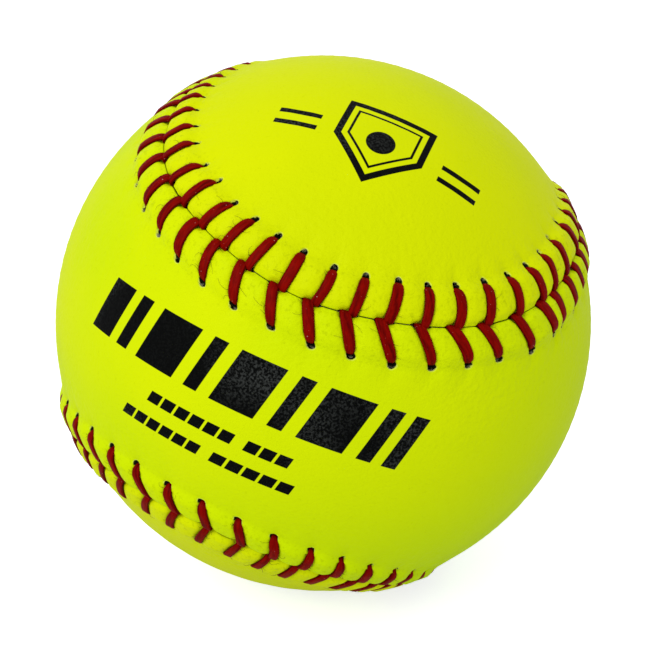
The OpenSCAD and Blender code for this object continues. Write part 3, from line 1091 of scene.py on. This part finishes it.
front_cover.data.materials.append(cover_finish("front_cover_leather", FRONT, front_marks))
crown_cover.data.materials.append(cover_finish("crown_cover_leather", CROWN, crown_marks))
print("covers finished")

# %% [markdown]
# ## The thread's finish
# The thread is waxed: dark red, with a broad soft shine, two plies that show as faint slanting
# lines, flanks darkened as painted shade, and here and there a pale crumb of wax. The lines follow
# the strand, so they read its own
# UV map, which has the way along the strand in millimetres.

# %% The thread material
THREAD_RED = (0.250, 0.002, 0.0, 1)
THREAD_DEEP = (0.095, 0.0, 0.0, 1)
# Painted shade on the thread's flanks
FLANK_SHADE_RED = (0.07, 0.0, 0.0, 1)
WAX = (0.62, 0.36, 0.30, 1)
PLIES = 2.0
TWIST = 0.05


def thread_finish():
    """Two reds in lines that turn slowly round the strand, with fine fibres, crumbs of wax and painted
    shade on the flanks. The lines go with the sine of the way round plus the twist times the way along."""
    material, tree = new_material("waxed_thread")
    strand_map = node(tree, "UVMap", uv_map="strand").outputs[0]
    part = node(tree, "SeparateXYZ", {0: strand_map})
    run, round_it = part.outputs[0], part.outputs[1]
    turns = maths(tree, "ADD", times(tree, run, TWIST), times(tree, round_it, PLIES))
    ply = maths(tree, "ABSOLUTE", maths(tree, "SINE", times(tree, turns, math.pi)))
    drawn = {0: times(tree, run, 0.5), 1: times(tree, round_it, 14)}
    fibre = noise(tree, node(tree, "CombineXYZ", drawn).outputs[0], 1.0, 3, 0.6)
    seen_ply = times(tree, band(tree, ply, 0.0, 0.45), 0.5)
    tone = maths(tree, "ADD", seen_ply, times(tree, band(tree, fibre, 0.38, 0.62), 0.5))
    colour = blend(tree, tone, THREAD_DEEP, THREAD_RED)
    # Painted shade: the thread's flanks are darker
    flank = maths(tree, "ABSOLUTE", maths(tree, "COSINE", times(tree, round_it, 2 * math.pi)))
    colour = blend(tree, times(tree, band(tree, flank, 0.72, 1.0), 0.6), colour, FLANK_SHADE_RED)
    crumb = band(tree, noise(tree, object_place(tree), 2300, 1), 0.752, 0.81)
    coat(tree, blend(tree, times(tree, crumb, 0.65), colour, WAX), 0.45, SHINE)
    relief = maths(tree, "ADD", times(tree, band(tree, ply, 0, 0.6), 0.6), times(tree, fibre, 0.5))
    emboss(tree, relief, 0.6, 0.00009)
    return material


waxed_thread = thread_finish()
for piece in (first_strand, second_strand):
    piece.data.materials.append(waxed_thread)

# %% The fibre material
FIBRE_DARK = (0.05, 0.012, 0.006, 1)
FIBRE_RED = (0.12, 0.03, 0.015, 1)


def fibre_finish():
    """Dark red-brown with a little unevenness."""
    material, tree = new_material("loose_fibre")
    uneven = noise(tree, object_place(tree), 500, 1)
    coat(tree, blend(tree, uneven, FIBRE_DARK, FIBRE_RED), 0.7, 0.05)
    return material


thread_fibres.data.materials.append(fibre_finish())
print("threads and fibres finished")

# %% [markdown]
# ## The inside
# The core, the winding and the cement coat keep their CAD shapes, because nothing of them shows
# until the ball is cut open. They still get their own finishes: pale foam with fine bubbles, yarn
# wound in many directions, and dried cement with drips. Each is one pattern of heights, which
# makes the bump and also turns the colour from a deep tone to a pale one.

# %% Patterns of the inside
YARN_SLANTS = ((0.2, 0.5, 0.1), (1.2, 0.3, 0.9), (2.3, 1.1, 0.4))


def bubbles(tree, spot):
    """Fine bubbles: the distance from scattered points."""
    return node(tree, "TexVoronoi", {"Vector": spot, "Scale": 700.0}, feature="F1").outputs["Distance"]


def wound_bands(tree, spot):
    """Yarn: three sets of fine bands at different slants, each showing in patches."""
    bands = []
    for slant in YARN_SLANTS:
        slanted = node(tree, "Mapping", {"Vector": spot, "Rotation": slant}).outputs[0]
        wound = {"Vector": slanted, "Scale": 260.0, "Distortion": 1.5, "Detail": 1.0}
        bands.append(node(tree, "TexWave", wound).outputs["Fac"])
    patch = noise(tree, spot, 45, 1)
    low = blend(tree, band(tree, patch, 0.44, 0.46), bands[0], bands[1])
    return blend(tree, band(tree, patch, 0.54, 0.56), low, bands[2])


def drips(tree, spot):
    """Slow ridges of dried cement."""
    return noise(tree, spot, 160, 4, 0.65)


# %% Materials of the inside
FOAM_TONES = ((0.33, 0.22, 0.11, 1), (0.52, 0.38, 0.21, 1))
YARN_TONES = ((0.42, 0.39, 0.31, 1), (0.80, 0.77, 0.68, 1))
CEMENT_TONES = ((0.55, 0.44, 0.24, 1), (0.78, 0.69, 0.47, 1))
# Name, pattern, deep and pale tone, roughness, strength of the bump and its depth in metres
INSIDE = {
    "core": ("moulded_foam", bubbles, FOAM_TONES, 0.8, 0.5, 0.0002),
    "yarn_winding": ("wound_yarn", wound_bands, YARN_TONES, 0.85, 0.7, 0.0003),
    "cement_coat": ("dried_cement", drips, CEMENT_TONES, 0.5, 0.5, 0.0003),
}


def inner_finish(name, pattern, tones, roughness, strength, depth):
    """A material whose colour and bump follow one pattern."""
    material, tree = new_material(name)
    height = pattern(tree, object_place(tree))
    coat(tree, blend(tree, height, *tones), roughness)
    emboss(tree, height, strength, depth)
    return material


for name, look in INSIDE.items():
    mesh = frame["nodes"][name].data
    mesh.materials.clear()
    mesh.materials.append(inner_finish(*look))
    print(name, "keeps its CAD shape, in", mesh.materials[0].name)

# %% [markdown]
# ## Everything rides on the ball
# The ball has no joints, so each piece rides on its one body. The dressed panels and threads stand
# for their CAD nodes, which stay for collision.

# %% Ride and replace
for piece, stands_for, slot in (
    (front_cover, "front_panel", "cover"),
    (crown_cover, "crown_panel", "cover"),
    (first_strand, "first_thread", "thread"),
    (second_strand, "second_thread", "thread"),
):
    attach(piece, "root")
    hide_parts(stands_for)
    print(piece.name, "stands for", stands_for)
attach(thread_fibres, "root")

# %% [markdown]
# ## Floor, light and camera
# The photograph shows the ball on white. A large matt floor with a white world behind it gives
# that: to the camera the floor glows a little, just enough to reach white, so the ball's soft
# shadow still falls on it. A large soft lamp stands to the upper left and the white world fills
# the rest, which keeps the yellow as bright as it was chosen.


# %% A floor that the camera sees as white
FLOOR_RINGS = np.array([0.05, 0.2, 0.6, 1.5, 4.0, 12.0])
FLOOR_SIDES = 64
FLOOR_WHITE = (0.80, 0.80, 0.88, 1)
GLOW_WHITE = (0.93, 0.93, 1, 1)
FLOOR_GLOW = 0.7


def white_floor():
    """A disc of rings under the ball, in metres. Camera rays add a glow to the matt white."""
    turns = np.linspace(0, 2 * np.pi, FLOOR_SIDES, endpoint=False)
    x = np.outer(FLOOR_RINGS, np.cos(turns)).ravel()
    y = np.outer(FLOOR_RINGS, np.sin(turns)).ravel()
    points = np.stack([x, y, np.full_like(x, -BALL_R * MM)], axis=-1)
    i = np.arange(FLOOR_SIDES)
    ring = np.arange(len(FLOOR_RINGS) - 1)[:, None] * FLOOR_SIDES
    a, b = (ring + i).ravel(), (ring + (i + 1) % FLOOR_SIDES).ravel()
    faces = np.stack([a, a + FLOOR_SIDES, b + FLOOR_SIDES, b], axis=-1).tolist() + [i.tolist()]
    mesh = bpy.data.meshes.new("floor")
    mesh.from_pydata(points.tolist(), [], faces)
    floor = bpy.data.objects.new("floor", mesh)
    bpy.context.scene.collection.objects.link(floor)
    material, tree = new_material("matt_white")
    coat(tree, FLOOR_WHITE, 0.9, 0.0)
    shader = tree.nodes["Principled BSDF"]
    shader.inputs["Emission Color"].default_value = GLOW_WHITE
    camera_ray = node(tree, "LightPath").outputs["Is Camera Ray"]
    tree.links.new(times(tree, camera_ray, FLOOR_GLOW), shader.inputs["Emission Strength"])
    mesh.materials.append(material)


white_floor()

# %% The world and the lamp
WORLD_LIGHT = 0.68
KEY_PLACE = (-0.30, -1.0, 0.79)
KEY_SIZE = 0.8
KEY_POWER = 6.25


def white_world():
    """White behind the ball, dimmer as a light than as a background."""
    world = bpy.data.worlds.new("studio")
    bpy.context.scene.world = world
    world.use_nodes = True
    tree = world.node_tree
    path = node(tree, "LightPath")
    seen = maths(tree, "MAXIMUM", path.outputs["Is Camera Ray"], path.outputs["Is Glossy Ray"])
    seen = maths(tree, "MAXIMUM", seen, path.outputs["Is Transmission Ray"])
    background = tree.nodes["Background"]
    background.inputs["Color"].default_value = (1, 1, 1, 1)
    tree.links.new(ramp(tree, seen, 0, 1, WORLD_LIGHT, 1), background.inputs["Strength"])


def soft_lamp(name, place, size, power):
    """A square lamp that faces the ball."""
    lamp = bpy.data.lights.new(name, "AREA")
    lamp.shape = "SQUARE"
    lamp.size = size
    lamp.energy = power
    holder = bpy.data.objects.new(name, lamp)
    holder.location = place
    holder.rotation_euler = (-holder.location).to_track_quat("-Z", "Y").to_euler()
    bpy.context.scene.collection.objects.link(holder)
    print(name, "lamp of", power, "watts")


white_world()
soft_lamp("key", KEY_PLACE, KEY_SIZE, KEY_POWER)

# %% The camera of the photograph
# Degrees round the ball and up, and millimetres from its middle, fitted to the seam and the holes
CAMERA_TURN = 16.04
CAMERA_RISE = 19.63
CAMERA_FAR = 286.83
LENS = 74.08
SENSOR = 36
PICTURE = 648
SHIFT_X = 0.7 / PICTURE
SHIFT_Y = -1.0 / PICTURE

camera = bpy.data.cameras.new("camera")
camera.lens = LENS
camera.sensor_width = SENSOR
camera.shift_x = SHIFT_X
camera.shift_y = SHIFT_Y
camera.clip_start = 0.01
holder = bpy.data.objects.new("camera", camera)
turn, rise = math.radians(CAMERA_TURN), math.radians(CAMERA_RISE)
back = np.array([math.sin(turn) * math.cos(rise), -math.cos(turn) * math.cos(rise), math.sin(rise)])
holder.location = back * CAMERA_FAR * MM
holder.rotation_euler = holder.location.to_track_quat("Z", "Y").to_euler()
bpy.context.scene.collection.objects.link(holder)
bpy.context.scene.camera = holder
bpy.context.scene.view_settings.view_transform = "Standard"
print("camera at", [round(v, 4) for v in holder.location])
